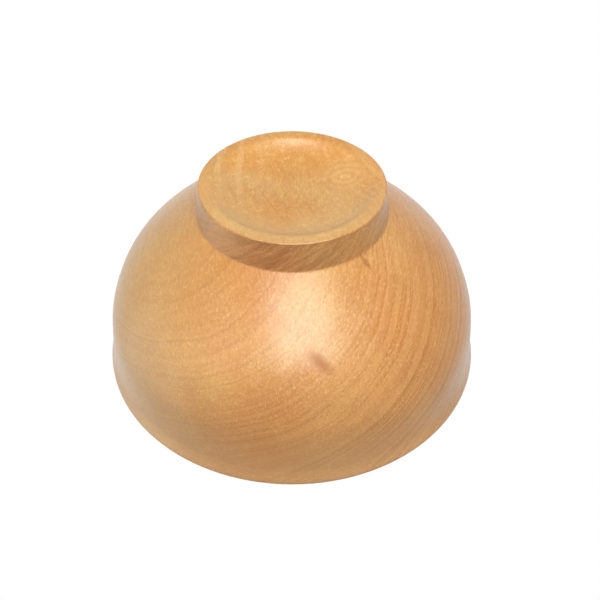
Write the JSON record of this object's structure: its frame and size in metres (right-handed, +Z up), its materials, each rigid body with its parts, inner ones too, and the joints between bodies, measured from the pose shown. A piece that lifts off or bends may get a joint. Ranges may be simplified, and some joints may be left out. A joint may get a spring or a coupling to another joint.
{
  "type": "yarn bowl",
  "caption": "Round turned wooden bowl on a low foot ring, with a hooked slot in its wall that guides yarn out to the knitter.",
  "frame": {"origin": "centre of the foot ring's flat resting face, on the bowl's axis", "axes": "+Z up the bowl's axis out of the open mouth; the yarn slot is cut through the +Y wall; +X completes the right-handed set"},
  "size_m": [0.1506, 0.1506, 0.0811],
  "materials": {
    "wood": "satin"
  },
  "bodies": {
    "root": {"bowl": "wood"}
  },
  "joints": []
}
